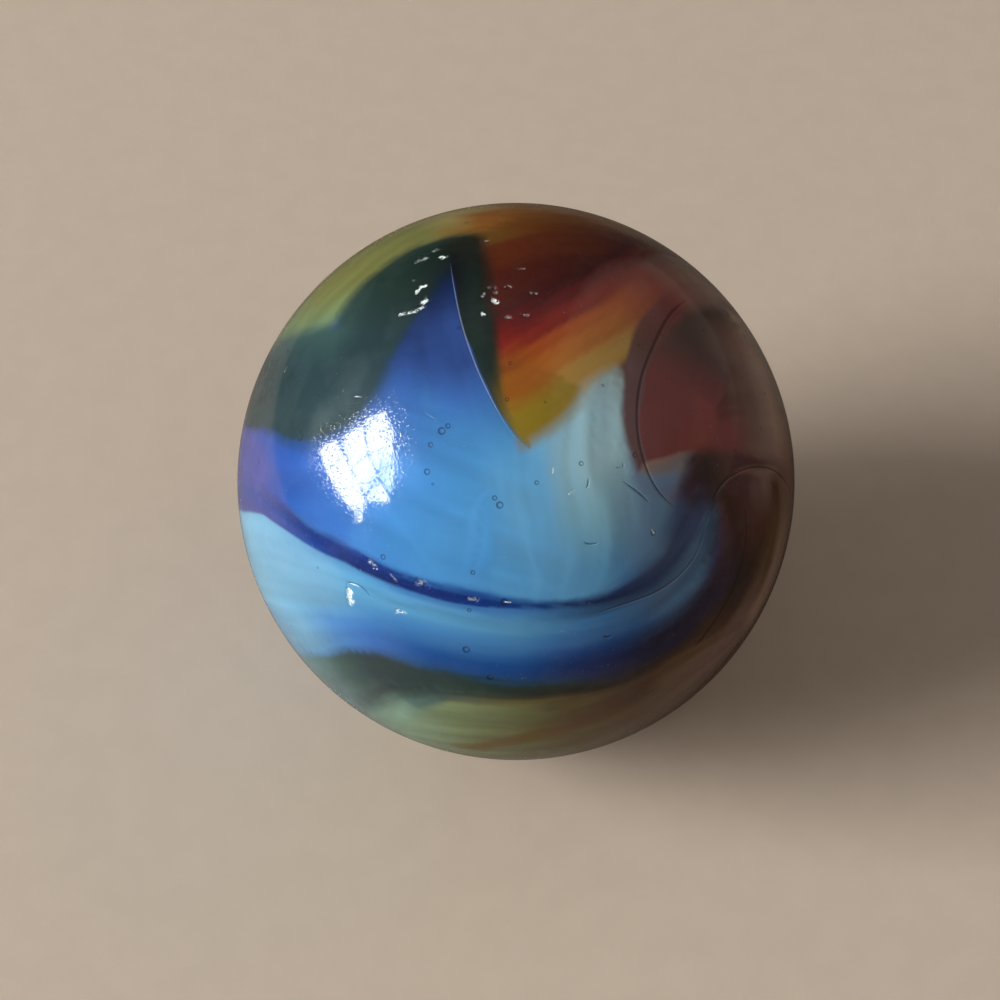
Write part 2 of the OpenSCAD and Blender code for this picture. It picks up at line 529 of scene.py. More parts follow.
def press_marks_tree():
    """Presses a set of marks into the skin and notes where each point of it lies on its mark."""
    tree, given = geometry_tree("press_marks", [
        ("Marks", "Object", None), ("Note", "String", "mark"), ("Sharpness", "Float", 1.5),
        ("Raggedness", "Float", 0.0), ("Facets per metre", "Float", 6000.0)])
    points = put(tree, "GeometryNodeObjectInfo", {"Object": given["Marks"]}).outputs["Geometry"]
    here = put(tree, "GeometryNodeInputPosition").outputs[0]
    feeds = {"Geometry": points, "Sample Position": here}
    nearest = put(tree, "GeometryNodeSampleNearest", feeds).outputs[0]
    feeds = {"Geometry": points, "Index": nearest, "Value": here}
    spot = put(tree, "GeometryNodeSampleIndex", feeds, data_type="FLOAT_VECTOR").outputs[0]
    reach, depth = (sampled(tree, points, nearest, name) for name in ("reach", "depth"))
    offset = put(tree, "ShaderNodeVectorMath", {0: here, 1: spot}, operation="SUBTRACT").outputs[0]
    shares = scaled(tree, offset, reckon(tree, "DIVIDE", 1.0, reach))
    grain = put(tree, "ShaderNodeTexVoronoi", {"Vector": here, "Scale": given["Facets per metre"]})
    rough = reckon(tree, "SUBTRACT", grain.outputs["Distance"], facet_middle)
    rough = times(tree, rough, given["Raggedness"])
    away = measured(tree, "LENGTH", scaled(tree, shares, reckon(tree, "ADD", rough, 1.0)))
    inward = reckon(tree, "SUBTRACT", 1.0, away, clamp=True)
    dish = reckon(tree, "POWER", inward, given["Sharpness"])
    facets = reckon(tree, "MULTIPLY_ADD", rough, facet_tilt, 1.0)
    outward = put(tree, "ShaderNodeVectorMath", {0: here}, operation="NORMALIZE").outputs[0]
    push = scaled(tree, outward, times(tree, depth, dish, facets, -1.0))
    skin = noted(tree, given["Geometry"], given["Note"], away)
    pressed = put(tree, "GeometryNodeSetPosition", {"Geometry": skin, "Offset": push})
    return close_tree(tree, pressed.outputs[0], given["Glass"])


def scatter_seeds_tree():
    """Scatters small stray seeds over the ball, each with a reach and a depth."""
    tree, given = geometry_tree("scatter_seeds", [
        ("Seeds per square metre", "Float", 100000.0), ("Smallest", "Float", 0.03 * MM),
        ("Largest", "Float", 0.07 * MM), ("Depth share", "Float", 0.25), ("Draw", "Int", 7)])
    scattered = put(tree, "GeometryNodeDistributePointsOnFaces",
                    {"Mesh": given["Geometry"], "Density": given["Seeds per square metre"],
                     "Seed": given["Draw"]})
    points = put(tree, "GeometryNodePointsToVertices", {"Points": scattered.outputs["Points"]}).outputs[0]
    reach = put(tree, "FunctionNodeRandomValue",
                {2: given["Smallest"], 3: given["Largest"], "Seed": given["Draw"]}).outputs[1]
    points = noted(tree, points, "reach", reach)
    points = noted(tree, points, "depth", times(tree, reach, given["Depth share"]))
    return close_tree(tree, points, given["Glass"])


def run_tree(piece, tree, **values):
    """Puts a tree on a piece and sets its named inputs."""
    modifier = piece.modifiers.new(tree.name, "NODES")
    modifier.node_group = tree
    for item in tree.interface.items_tree:
        if item.in_out == "INPUT" and item.name in values:
            modifier[item.identifier] = values[item.name]


def plain_mesh(piece):
    """What a piece's modifiers make of it, as a mesh of its own."""
    piece.update_tag()
    depsgraph = bpy.context.evaluated_depsgraph_get()
    return bpy.data.meshes.new_from_object(piece.evaluated_get(depsgraph),
                                           preserve_all_data_layers=True, depsgraph=depsgraph)


ball_divisions = 7
blank = bmesh.new()
bmesh.ops.create_icosphere(blank, subdivisions=ball_divisions, radius=ball_radius)
ball_mesh = bpy.data.meshes.new("glass_ball")
blank.to_mesh(ball_mesh)
ball = bpy.data.objects.new("glass_ball", ball_mesh)
scene.collection.objects.link(ball)

ball_area = 4 * pi * ball_radius ** 2
run_tree(ball, scatter_seeds_tree(), Smallest=stray_seed_smallest, Largest=stray_seed_largest,
         **{"Seeds per square metre": stray_seeds / ball_area, "Depth share": seed_depth,
            "Draw": stray_seed_draw})
strays = plain_mesh(ball)
ball.modifiers.clear()
stray_reach = [layer.value for layer in strays.attributes["reach"].data]
mark_points = {
    "fold": line_marks(folds, fold_fade),
    "crack": line_marks(cracks, crack_fade),
    "scratch": line_marks(scratches_and_crown_crease, crack_fade),
    "chip": chip_marks(chips),
    "bruise": chip_marks(bruises),
    "seed": [(place(tilt, bearing) * ball_radius, radius * MM, radius * seed_depth * MM)
             for tilt, bearing, radius in seeds]
            + [(vertex.co.normalized() * ball_radius, reach, reach * seed_depth)
               for vertex, reach in zip(strays.vertices, stray_reach)],
}
bpy.data.meshes.remove(strays)

# The skin is cut finer and finer towards each mark, within so many times its
# reach and a margin
finer_within = [(2.4, 0.20 * MM), (1.7, 0.10 * MM), (1.3, 0.04 * MM)]
all_marks = [mark for marks in mark_points.values() for mark in marks]
mark_finder = KDTree(len(all_marks))
for i, (spot, _, _) in enumerate(all_marks):
    mark_finder.insert(spot, i)
mark_finder.balance()
for times_reach, margin in finer_within:
    close = set()
    for vertex in blank.verts:
        _, nearest, gap = mark_finder.find(vertex.co)
        if gap < all_marks[nearest][1] * times_reach + margin:
            close.add(vertex)
    edges = [edge for edge in blank.edges if close.issuperset(edge.verts)]
    bmesh.ops.subdivide_edges(blank, edges=edges, cuts=1, use_grid_fill=True)
    bmesh.ops.triangulate(blank, faces=[face for face in blank.faces if len(face.verts) > 3])
    for vertex in blank.verts:
        vertex.co = vertex.co.normalized() * ball_radius
blank.to_mesh(ball_mesh)
blank.free()

# ------------------------------------------------------ The swirl in the glass
# Ribbons of coloured glass, drawn out and twisted together while soft, and
# rolled into the ball. Each ribbon is a path of places with its half width in
# mm. Its bands lie across it, from -1 at its left edge to 1 at its right, and
# each names its rod, or the rods it turns to and the points where it has them.

ribbon_step = 0.08
points_at_a_time = 20000
thinnest_ribbon = 0.02
radius_mm = ball_radius / MM
streak_cell = 0.30
streak_draw = 3.5
# What a streak does to the edge, the colour, the bands and the faint ends
streak_roughens = 0.6
streak_lightens = 0.45
streak_bends = 0.5
streak_frays = 0.5
fewest_streaks = 1.2
drift_draw = 0.8
drift_apart = 2.5
side_turn = 1.2
furthest_across = 1.5
# The noise's cells, the weight of each octave, its gain and where it starts
draw_cells = 60
draw_weights = (0.52, 0.30, 0.18)
draw_gain = 1.6
draw_start = (7.3, 3.1)
far_outside = -20.0
start_reach = 3.0
# How much further than its edge a ribbon is looked for, in blurs, mm and radians
spare_blurs = 1.5
spare_reach = 0.3
spare_turn = 0.1


def rod(red, green, blue):
    """The colour of a glass rod, from screen values of 0 to 255."""
    screen = [channel / 255 for channel in (red, green, blue)]
    return tuple(c / 12.92 if c < 0.04045 else ((c + 0.055) / 1.055) ** 2.4 for c in screen)


core_tone = rod(60, 42, 30) + (1,)
# Blues, greys and violets, greens, yellows, reds and browns
rod_screens = dict(
    night=(4, 8, 16), ink=(8, 10, 60), midnight=(6, 28, 78), navy=(2, 32, 98), marine=(2, 50, 118),
    indigo=(18, 42, 92), ultramarine=(26, 70, 146), lapis=(34, 62, 120), deep_teal=(2, 56, 84),
    petrol=(28, 76, 118), deep_blue=(8, 70, 138), cobalt=(31, 84, 152), smalt=(48, 90, 158),
    royal=(45, 98, 168), azure=(58, 118, 176), sky=(66, 135, 190), pale_sky=(90, 158, 205),
    teal_belt=(80, 142, 182), pale_belt=(96, 146, 177), glacier=(112, 164, 192),
    milk_blue=(128, 185, 206), frost=(154, 198, 212), milk=(152, 183, 190), bone=(162, 168, 152),
    denim=(40, 64, 98), storm=(46, 66, 108), slate=(80, 114, 154), mist=(92, 130, 166),
    steel=(95, 125, 158), dove=(122, 118, 124), dusk=(48, 64, 128), violet=(64, 68, 130),
    plum=(36, 24, 56), aubergine=(50, 20, 28), mauve=(88, 58, 64),
    soot=(16, 18, 8), spruce=(14, 32, 26), pine=(6, 46, 42), fir=(28, 46, 40), bottle=(26, 47, 51),
    teal_green=(46, 72, 70), reed=(74, 105, 98), sea=(80, 115, 120), foam=(112, 145, 125),
    pear=(110, 127, 88), moss=(98, 118, 82), lime=(108, 111, 60), straw=(150, 138, 84), olive=(98, 90, 45),
    umber=(96, 76, 22), mustard=(130, 108, 16), ochre=(160, 125, 52), amber=(162, 95, 20),
    toffee=(138, 86, 28), rust=(138, 78, 8), orange=(150, 66, 6), gold_brown=(108, 58, 3),
    sepia=(88, 34, 3),
    scarlet=(120, 22, 6), crimson=(88, 9, 5), garnet=(68, 17, 4), oxblood=(56, 6, 3),
    maroon=(108, 38, 44), coral_brown=(136, 60, 52), rose=(130, 58, 62),
    chocolate=(46, 24, 20), peat=(58, 40, 33), bark=(68, 38, 18), russet=(80, 42, 34), hazel=(94, 68, 40),
    stone=(122, 98, 92), taupe=(138, 106, 94), fawn=(158, 132, 118),
)
rods = {name: rod(*screen) for name, screen in rod_screens.items()}

# In mm: soft is the blur of both edges, or of the left and the right one, and
# may change from point to point, wander is how far the edges stray, cut_start
# blurs a start that is cut off square, and fade_in and fade_out are the lengths
# of faint ends. Streaks is how streaky the colour is
ribbons = [
    dict(name="far_side", soft=1.6, wander=0.3, streaks=0.1, path=[
        (90, 60, 2.4), (96, 38, 3.4), (98, 10, 4), (96, 340, 4), (94, 312, 3.6), (90, 290, 2.6)
    ], bands={-1: "hazel", -0.5: "russet", 0: "bark", 0.5: "hazel", 1: "taupe"}),
    dict(name="back_sweep", soft=1.4, wander=0.7, streaks=0.7, path=[
        (74, 84, 2.6), (84, 100, 3), (94, 120, 3.2), (106, 144, 2.8), (122, 166, 2), (140, 196, 1.2),
        (154, 250, 0.3)
    ], bands={
        -1: "bark", -0.6: "umber", -0.2: "gold_brown 0, bark 4", 0.3: "toffee 0, hazel 2, plum 5",
        0.7: "olive 2, dusk 5", 1: "olive 0, reed 3, dusk 5"
    }),
    dict(name="under_sweep", soft=1.2, wander=0.7, streaks=0.7, path=[
        (150, 140, 0.2), (144, 100, 1.6), (132, 66, 2.4), (120, 44, 2.6), (112, 22, 2), (108, 0, 0.6)
    ], bands={-1: "russet", -0.3: "chocolate", 0.2: "hazel", 0.6: "russet", 1: "bark"}),
    dict(name="flank", soft=(1.3, 0.15), wander=0.05, path=[
        (58, 6, 2.2), (60, 1, 2.3), (62, 352, 2.3), (63, 342, 2.2), (63, 334, 2.1), (63, 326, 2),
        (63, 316, 1.9), (61, 309, 1.8), (59, 302, 1.6), (56, 294, 1.2), (55, 286, 0.7)
    ], bands={
        -1: "hazel 0, taupe 2, stone 8, hazel 10", -0.5: "bark 0, hazel 1, fawn 3-6, stone 8, hazel 10",
        -0.15: "russet 0, bark 1, hazel 2-3, stone 5-6, hazel 8, olive 10",
        0.15: "russet 0, stone 1, russet 2, bark 3-4, hazel 5, stone 6, hazel 8, olive 10",
        0.5: "mauve 0, russet 2, chocolate 3-4, bark 5-8, olive 10",
        1: "russet 0, chocolate 2, plum 4, chocolate 6-8, olive 10"
    }),
    dict(name="sail", soft=0.5, wander=0.2, streaks=0.3, path=[
        (140, 188, 0.3), (114, 171, 1.7), (92, 170, 2.5), (72, 173, 3), (50, 170, 3.6), (28, 165, 4.2),
        (8, 180, 4.6), (16, 330, 3.6), (28, 350, 1.8)
    ], bands={
        -1: "dusk 3, ultramarine 4, indigo 5, sky 6, milk 7, steel 8",
        -0.3: "violet 0, dusk 3, ultramarine 4, smalt 5, sky 6, milk_blue 7, steel 8",
        0.4: "violet 0, dusk 3, ultramarine 4, royal 5, sky 6, pale_sky 7, slate 8",
        1: "dusk 3, cobalt 4, royal 5, azure 6, pale_sky 7, slate 8"
    }),
    dict(name="apex", soft=(0.5, 0.7), wander=0.2, streaks=0.5, fade_out=2.5, path=[
        (54, 106.5, 0.35), (44, 111, 0.9), (38, 116, 1.55), (32.5, 122, 2), (27.5, 127, 2.3),
        (22.5, 134.5, 2.5), (17, 144, 2.55), (12, 152, 2.45)
    ], bands={
        -1: "night 0, midnight 2, indigo 3, lapis 4, smalt 5, royal 7",
        0: "night 0, midnight 2, indigo 3, lapis 4, royal 6, sky 7",
        1: "night 0, midnight 1-2, indigo 3, lapis 4, smalt 5, royal 6, sky 7"
    }),
    dict(name="violet", soft=0.8, wander=0.2, fade_out=2.5, path=[
        (104, 174, 2), (80, 178, 1.6), (68, 178, 1.1), (58, 181, 0.6), (50, 187, 0.3)
    ], bands={0: "violet 3, dusk 4"}),
    dict(name="milk", soft=1.1, wander=0.3, fade_out=1.5, path=[
        (36, 58, 0.9), (25, 54, 1.2), (18, 40, 1.4), (14, 13, 1.6), (17, 341, 1.7), (23, 315, 1.4),
        (27, 300, 0.8)
    ], bands={
        -1: "bone 0, milk 2-3, steel 4, azure 5", 0: "bone 0, milk 1, frost 2-3, milk_blue 4, pale_sky 5",
        1: "bone 0, milk_blue 2, pale_sky 3"
    }),
    dict(name="teal_wisp", soft=0.4, streaks=0.5, fade_in=0.6, fade_out=0.8, path=[
        (4, 200, 0.1), (8, 220, 0.25), (14, 243, 0.35), (21, 245, 0.2)
    ], bands={0: "sky 2, azure 3"}),
    dict(name="slate", soft=1, wander=0.2, fade_in=1, path=[
        (28, 318, 0.2), (29.5, 330, 0.45), (30.3, 345, 0.7), (29, 357, 0.75), (26, 8, 0.35)
    ], bands={0: "sky 0, mist 1-3, steel 4"}),
    dict(name="cap", soft=(1.6, 0.4), cut_start=0.2, path=[
        (58, 104, 3.9), (58, 98, 4.2), (62, 89, 4.6), (66, 79, 4.5), (71, 70, 4.2), (77, 60, 3.3),
        (86, 48, 2.8), (98, 36, 2.2), (112, 24, 1.4), (124, 10, 0.8)
    ], bands={
        -1: "olive 0, amber 1-4, hazel 6", -0.7: "umber 0, toffee 1",
        -0.3: "umber 0, toffee 2-4, hazel 6", 0.05: "umber 0, gold_brown 2-4, russet 6",
        0.3: "bark 0, sepia 1-3, garnet 4, russet 6", 0.55: "bark 0, garnet 1-3, oxblood 4, chocolate 6",
        1: "soot 0, oxblood 1, chocolate 6"
    }),
    dict(name="hood_body", wander=0.05, streaks=0.3, cut_start=0.15,
         soft=(0.5, "0.1 0, 0.12 4, 1.2 7"), path=[
        (27.5, 32.5, 2.1), (35, 29.5, 2.1), (42, 29, 2.4), (50, 29, 2.7), (60, 28, 3.1), (68, 27, 3.2),
        (78, 25, 3.3), (90, 22, 3.2), (104, 18, 2.6), (118, 12, 1.6)
    ], bands={
        -1: "russet 0, stone 4, taupe 6, hazel 8", -0.4: "russet 3, stone 4, fawn 5, hazel 7",
        0.1: "maroon 0, russet 3, stone 4, fawn 5, bark 7", 0.6: "rose 3, stone 4, fawn 5, russet 7",
        1: "coral_brown 0, rose 3, stone 4, taupe 5, hazel 7"
    }),
    dict(name="hood_edge", soft=(0.8, 0.12), wander=0, streaks=0.3, path=[
        (64, 37, 0.9), (57, 38, 1.1), (49, 36, 1.2), (43, 32, 1.2), (39, 29, 1.2), (37, 24, 1.25),
        (34, 21, 1.3), (34, 18, 1.25), (32, 9, 1.05)
    ], bands={-1: "taupe 0, stone 1, mauve 2, rose 4, coral_brown 8", 1: "peat 2, maroon 4"}),
    dict(name="wedge", soft=(0.25, 0.28), wander=0.06, streaks=0.3, cut_start=0.1, path=[
        (20, 103, 2), (21, 91, 1.88), (23, 85.5, 1.7), (25.5, 79.5, 1.57), (29.5, 73, 1.5),
        (34, 67.5, 1.5), (39.5, 62.5, 1.48), (45, 59.5, 1.45), (55, 56, 1.4), (66, 53, 1.45),
        (74, 49, 1.3), (84, 44, 1.1), (96, 37, 0.8)
    ], bands={
        -1: "oxblood 9, russet 11", -0.7: "crimson 8, hazel 11",
        -0.4: "scarlet 7, coral_brown 8, stone 9, hazel 11",
        -0.05: "rust 1, orange 3-7, coral_brown 8, taupe 9, hazel 11",
        0.3: "rust 1, amber 3-6, orange 7, coral_brown 8, taupe 9, stone 11",
        0.65: "mustard 1, ochre 3-6, coral_brown 7-8, taupe 9, stone 11",
        1: "mustard 1, ochre 2-6, maroon 7, russet 8, stone 9, russet 11"
    }),
    dict(name="pool_edge", soft=(0.04, 0.5), wander=0, streaks=0.3, fade_out=1.2, path=[
        (49.5, 107.5, 0.15), (43.5, 110, 0.3), (38.5, 112, 0.4), (34, 114, 0.45), (29, 115.5, 0.5),
        (24.5, 116.5, 0.5), (18.5, 117, 0.5), (12, 117, 0.5), (8, 112.5, 0.5), (4.5, 99, 0.5),
        (3, 57.5, 0.4), (3.5, 19, 0.3)
    ], bands={0: "night 0, midnight 1, indigo 2, lapis 3-5, smalt 6, azure 7, sky 8, pale_sky 11"}),
    dict(name="rim_strand", soft=(0.05, 0.15), wander=0.03, streaks=0.3, fade_in=0.8, path=[
        (58, 48, 0.25), (52, 49, 0.3), (43.5, 49, 0.35), (38, 47.5, 0.35), (32.5, 43.5, 0.3),
        (29, 38, 0.3), (26, 32.5, 0.25), (24, 23, 0.22), (24, 13, 0.2), (24.5, 6.5, 0.2)
    ], bands={0: "coral_brown 0, maroon 1, russet 3, mauve 4"}),
    dict(name="lower_grey", soft=(0.08, 0.3), wander=0.03, streaks=0.3, fade_out=0.5, path=[
        (25, 2, 0.2), (26.5, 1.5, 0.45), (30, 2.5, 0.5), (33, 6, 0.35), (35.5, 8, 0.2), (39.5, 9, 0.1)
    ], bands={
        -1: "stone 0, taupe 1-3, maroon 5", -0.4: "steel 0, dove 1-3, russet 5",
        0.2: "steel 2, dove 3, plum 4, aubergine 5", 1: "steel 2, slate 3, plum 4, aubergine 5"
    }),
    dict(name="eye", soft=(0.25, 0.08), wander=0, streaks=0.3, fade_in=0.8, fade_out=0.6, path=[
        (36, 350, 0.45), (37, 355, 0.6), (38, 0, 0.65), (39.5, 3.5, 0.6), (43.5, 5.5, 0.4), (49, 6, 0.25),
        (55, 5, 0.15), (64, 4, 0.12), (72, 1, 0.12)
    ], bands={0: "dusk 0, plum 1, aubergine 2, chocolate 3, russet 4, mauve 5, russet 6, stone 8"}),
    dict(name="belly", soft=0.35, wander=0.15, streaks=0.5, path=[
        (128, 232, 0.8), (112, 236, 1.5), (92, 238, 2), (76, 248, 2.6), (70, 262, 2.9), (68, 280, 2.7),
        (66, 296, 2.3), (66, 312, 1.5), (70, 324, 0.6)
    ], bands={
        -1: "moss 0, sea 2, foam 3, pear 4, olive 5, hazel 6",
        -0.3: "moss 0, foam 2-3, pear 4, olive 5, hazel 6, stone 8",
        0.4: "lime 0, foam 3, pear 4, olive 5, hazel 6, stone 8",
        1: "teal_green 0, moss 3, hazel 5, russet 8"
    }),
    dict(name="brown_keel", soft=0.55, wander=0.15, streaks=0.3, fade_in=1.2, fade_out=1, path=[
        (72, 255, 0.2), (66.5, 262.5, 0.3), (62, 269.5, 0.35), (59.5, 276.5, 0.4), (58, 282.5, 0.4),
        (56.5, 288.5, 0.45), (55, 298, 0.5), (56, 308, 0.4)
    ], bands={0: "olive 0, umber 1-3, hazel 4, bark 7"}),
    dict(name="light_belt", soft=0.3, streaks=0.3, path=[
        (150, 250, 0.5), (137, 220, 0.9), (125, 205, 1.2), (108, 198, 1.5), (90, 196, 1.6),
        (74, 197, 1.7), (60, 200, 1.65), (48, 206, 1.3), (39, 215, 1), (34, 226.5, 0.7),
        (30.5, 238.5, 0.65), (28.5, 256, 0.7), (28.5, 272, 0.7), (29.5, 288.5, 0.7), (32, 303.5, 0.7),
        (35, 314.5, 0.7), (37.5, 323, 0.6), (39, 332, 0.55), (40, 340, 0.5), (41, 347, 0.35),
        (41, 352, 0.15)
    ], bands={
        -1: "sea 0, glacier 4-5, pale_belt 6, azure 8, royal 11-12, denim 14-16, slate 18, denim 20",
        0: "sea 0, glacier 4-5, pale_belt 7, teal_belt 8-12, azure 14, slate 16-18, denim 20",
        1: "dusk 0, glacier 4-5, teal_belt 7, azure 9-13, royal 15, slate 16, denim 17"
    }),
    dict(name="blue_belt", soft=(0.3, 0.2), wander=0.08, path=[
        (152, 300, 0.4), (138, 245, 0.8), (124, 225, 1), (108, 215, 1), (90, 213, 1), (75, 214, 0.9),
        (62, 218, 0.85), (52, 222, 0.8), (45, 227, 0.75), (41, 236, 0.8), (39, 246, 0.8), (38, 259, 0.8),
        (38, 272, 0.8), (39, 285, 0.8), (42, 299, 0.85), (44, 311, 0.75), (46, 321, 0.65), (47, 331, 0.5),
        (47, 339, 0.4), (46, 347, 0.3), (44, 353, 0.2)
    ], bands={
        -1: "dusk 0, pale_belt 5-6, azure 7-12, royal 13, cobalt 14, slate 17, dusk 18, mauve 20",
        0: "dusk 0, pale_belt 5-6, azure 7, royal 8, cobalt 9, deep_blue 10-12, marine 13, navy 14, "
           "ink 15, plum 17, mauve 20",
        1: "navy 0, pale_belt 5, azure 6, royal 7, smalt 8, petrol 9, deep_teal 10-13, ink 14, plum 17, "
           "russet 20"
    }),
    dict(name="green_keel", soft=0.22, wander=0.08, path=[
        (140, 280, 0.6), (126, 252, 1.3), (110, 238, 1.8), (92, 232, 1.9), (75, 233, 1.8),
        (63, 235, 1.45), (55, 237, 1.15), (51, 242, 0.9), (47, 249, 0.6), (45, 261, 0.46),
        (45, 271, 0.42), (46, 284, 0.36), (49, 297, 0.3), (50, 307, 0.3)
    ], bands={
        -1: "bottle 0, sea 4, teal_green 5, bottle 6, pine 9-11, plum 13",
        0: "bottle 0, sea 4, teal_green 5, bottle 6, pine 9, soot 11, chocolate 13",
        1: "moss 0, foam 4-5, reed 6, teal_green 8, olive 10, bark 13"
    }),
    dict(name="navy_trail", wander=0.03, streaks=0.6,
         soft=("0.2 0, 0.15 8-10, 0.25 11, 0.3 13, 0.2 14, 0.1 16, 0.25 18, 0.4 23",
               "0.1 0, 0.06 6-10, 0.08 17, 0.15 19, 0.3 23"), path=[
        (146, 210, 0.2), (136, 190, 0.3), (124, 182, 0.45), (108, 180, 0.6), (90, 181, 0.7),
        (74, 182, 0.6), (61, 184.2, 0.42), (52.5, 188.4, 0.38), (45.2, 194.9, 0.28), (37.4, 203.8, 0.25),
        (31.1, 217.3, 0.2), (27.4, 229, 0.2), (24.8, 242.5, 0.2), (23.7, 254, 0.18), (23.4, 265, 0.13),
        (24, 280, 0.12), (25.5, 293.5, 0.13), (28, 305.5, 0.16), (30, 316, 0.3), (32, 326, 0.4),
        (33.5, 334.5, 0.4), (34, 342.5, 0.5), (35.5, 350.5, 0.5), (36, 355, 0.4)
    ], bands={
        -1: "plum 0, violet 4-6, navy 8-10, marine 12-16, smalt 18, slate 20, storm 22, plum 23",
        0: "plum 0, violet 4, dusk 6, marine 7, navy 9-12, marine 15, indigo 17, storm 19-22, plum 23",
        1: "plum 0, violet 4-6, marine 8, navy 9, ink 10, navy 11, marine 15, denim 17, storm 22, plum 23"
    }),
    dict(name="yellow_strip", soft=0.4, wander=0.15, fade_in=0.8, path=[
        (66, 156, 0.8), (69, 145, 1.9), (69, 137, 2.1), (69, 129, 2.05), (71, 120, 1.75), (72, 112, 1.65),
        (72, 105, 1.6), (69, 99, 1.1)
    ], bands={
        -1: "sea 0, lime 2-4, straw 5-6, toffee 7",
        0: "teal_green 0, moss 1, lime 2-5, straw 6, toffee 7",
        1: "bottle 0, reed 1, moss 2, lime 3-5, toffee 7"
    }),
    dict(name="green_hook", wander=0.08,
         soft=("0.6 0, 0.3 2-9", "0.15 0, 0.2 3, 0.5 5, 0.6 8, 0.3 10"), path=[
        (128, 172, 0.1), (78.5, 160, 1.2), (60.5, 157, 1.45), (50.5, 155, 1.7), (44, 151, 1.7),
        (43.4, 142.5, 1.4), (43.4, 137, 1.33), (46.8, 128.5, 1.38), (49.1, 122.5, 1.3),
        (51.8, 116.5, 1.1), (54, 110.5, 0.8), (55, 105, 0.7)
    ], bands={
        -1: "bottle 0, teal_green 2-6, fir 8", 0: "bottle 6, fir 8, spruce 10, soot 11",
        1: "bottle 6, spruce 8, soot 11"
    }),
    dict(name="hook_arm", soft=("0.3 0, 0.2 3, 0.12 6, 0.08 9", 0.05), wander=0.03, path=[
        (54, 101, 0.5), (48.5, 102, 0.55), (43, 102.5, 0.5), (37.5, 103.5, 0.45), (32, 103.5, 0.45),
        (26.5, 103, 0.36), (21.5, 103, 0.29), (17.5, 102.5, 0.2), (14.5, 101, 0.15), (12, 98, 0.1),
        (9, 88, 0.08), (7, 69, 0.05)
    ], bands={
        -1: "bark 0, soot 1-5, umber 7, olive 9, mustard 11",
        -0.2: "soot 0, spruce 3-6, umber 8, mustard 10",
        1: "soot 0, night 1-2, spruce 5, bottle 7, teal_green 9, sea 11"
    }),
]


def smooth_trail(path):
    """A ribbon's path as a Catmull-Rom curve: its directions, half widths and run in mm, its
    left side, and the run at each of its points."""
    spots = np.array([place(tilt, bearing) for tilt, bearing, _ in path])
    widths = np.array([half_width for _, _, half_width in path])
    knots = np.column_stack([spots, widths])
    knots = np.vstack([2 * knots[0] - knots[1], knots, 2 * knots[-1] - knots[-2]])
    rows, point_rows = [], []
    for i in range(1, len(knots) - 2):
        before, start, end, after = knots[i - 1:i + 3]
        span = np.linalg.norm(end[:3] - start[:3]) * radius_mm
        point_rows.append(len(rows))
        for t in np.linspace(0, 1, max(2, ceil(span / ribbon_step)), endpoint=False):
            rows.append(0.5 * (2 * start + (end - before) * t
                               + (2 * before - 5 * start + 4 * end - after) * t ** 2
                               + (3 * start - before - 3 * end + after) * t ** 3))
    point_rows.append(len(rows))
    rows.append(knots[-2])
    rows = np.array(rows)
    centres = rows[:, :3] / np.linalg.norm(rows[:, :3], axis=1, keepdims=True)
    half_widths = np.maximum(rows[:, 3], thinnest_ribbon)
    left = np.cross(centres, np.gradient(centres, axis=0))
    left /= np.linalg.norm(left, axis=1, keepdims=True)
    steps = np.linalg.norm(np.diff(centres, axis=0), axis=1) * radius_mm
    run = np.concatenate([[0], np.cumsum(steps)])
    return centres, half_widths, run, left, run[point_rows]


def drawn_noise(layers, across, along):
    """Soft noise from -1 to 1, its largest cells one unit wide and one long."""
    total = 0
    for octave, weight in enumerate(draw_weights):
        cells = layers[octave]
        u, v = across * 2 ** octave + draw_start[0], along * 2 ** octave + draw_start[1]
        low_u, low_v = np.floor(u).astype(int), np.floor(v).astype(int)
        u, v = u - low_u, v - low_v
        u, v = u * u * (3 - 2 * u), v * v * (3 - 2 * v)
        low_u, low_v = low_u % draw_cells, low_v % draw_cells
        near = cells[low_u, low_v] * (1 - u) + cells[low_u + 1, low_v] * u
        far = cells[low_u, low_v + 1] * (1 - u) + cells[low_u + 1, low_v + 1] * u
        total = total + weight * (near * (1 - v) + far * v)
    return total * draw_gain


def stops(words):
    """What words such as sky 0-2, azure 3 name, and the numbers of the points where each holds."""
    names, points = [], []
    for stop in str(words).split(", "):
        name, _, numbers = stop.partition(" ")
        for number in (numbers or "0").split("-"):
            names.append(name)
            points.append(int(number))
    return names, points


def parts_near(skin, centres, half_widths, widest):
    """The skin near a ribbon, part by part: which points, the place of the ribbon's path that
    each belongs to, and how far inside the ribbon it lies in mm."""
    middle = centres.mean(axis=0)
    gaps = 2 * np.arcsin(np.clip(np.linalg.norm(skin - middle, axis=1) / 2, 0, 1))
    reach = 2 * np.arcsin(np.clip(np.linalg.norm(centres - middle, axis=1) / 2, 0, 1)).max()
    close = np.nonzero(gaps < reach + widest / radius_mm + spare_turn)[0]
    for start in range(0, len(close), points_at_a_time):
        part = close[start:start + points_at_a_time]
        cosines = np.clip(skin[part] @ centres.T, -1, 1)
        inside = half_widths - np.sqrt(2 - 2 * cosines) * radius_mm
        best = inside.argmax(axis=1)
        inside = np.take_along_axis(inside, best[:, None], 1)[:, 0]
        near = inside > half_widths.min() - widest
        yield part[near], best[near], inside[near]


